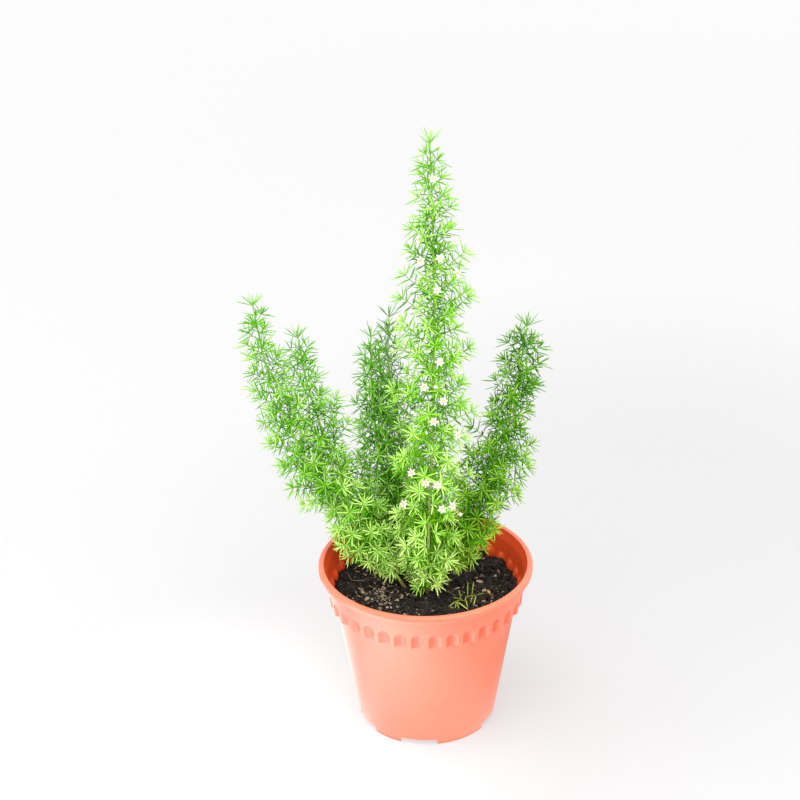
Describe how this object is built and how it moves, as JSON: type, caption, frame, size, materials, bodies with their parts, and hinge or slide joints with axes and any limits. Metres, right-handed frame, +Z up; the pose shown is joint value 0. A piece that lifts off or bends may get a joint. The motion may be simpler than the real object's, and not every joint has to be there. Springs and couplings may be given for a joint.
{
  "type": "potted foxtail fern",
  "caption": "Potted foxtail fern: upright plumes of soft green needles with tiny white star flowers, in a round tapered plastic nursery pot with a fluted collar.",
  "frame": {"origin": "middle of the plant's whole footprint, on the surface that the pot stands on", "axes": "+Z up along the tall plume, -Y towards the front, where the pot's first foot notch and the low young shoot are, +X towards the single leaning plume"},
  "size_m": [0.2314, 0.16, 0.4683],
  "materials": {
    "pot_plastic": "salmon-orange polypropylene, satin, lighter where the light grazes it",
    "soil": "dark, damp, crumbly potting mix with bark chips and perlite",
    "foliage_light": "bright fresh yellow-green needles, soft sheen",
    "foliage_mid": "mid green needles, soft sheen",
    "foliage_deep": "deeper green needles, soft sheen",
    "petal": "white, slightly translucent petals",
    "shoot": "yellow-green, slightly dry needles",
    "prill": "orange coated fertiliser bead"
  },
  "bodies": {
    "root": {"pot": "pot_plastic", "soil": "soil", "plume_front": "foliage_light", "plume_left_outer": "foliage_mid", "plume_left_inner": "foliage_mid", "plume_back_left": "foliage_deep", "plume_back": "foliage_deep", "plume_right": "foliage_deep", "young_shoot": "shoot", "bloom_1": "petal", "bloom_2": "petal", "bloom_3": "petal", "bloom_4": "petal", "bloom_5": "petal", "bloom_6": "petal", "bloom_7": "petal", "bloom_8": "petal", "bloom_9": "petal", "bloom_10": "petal", "bloom_11": "petal", "bloom_12": "petal", "bloom_13": "petal", "bloom_14": "petal", "bloom_15": "petal", "bloom_16": "petal", "bloom_17": "petal", "bloom_18": "petal", "bloom_19": "petal", "bloom_20": "petal", "bloom_21": "petal", "bloom_22": "petal", "bloom_23": "petal", "bud_1": "petal", "bud_2": "petal", "bud_3": "petal", "bud_4": "petal", "fertiliser_prill": "prill"}
  },
  "joints": []
}
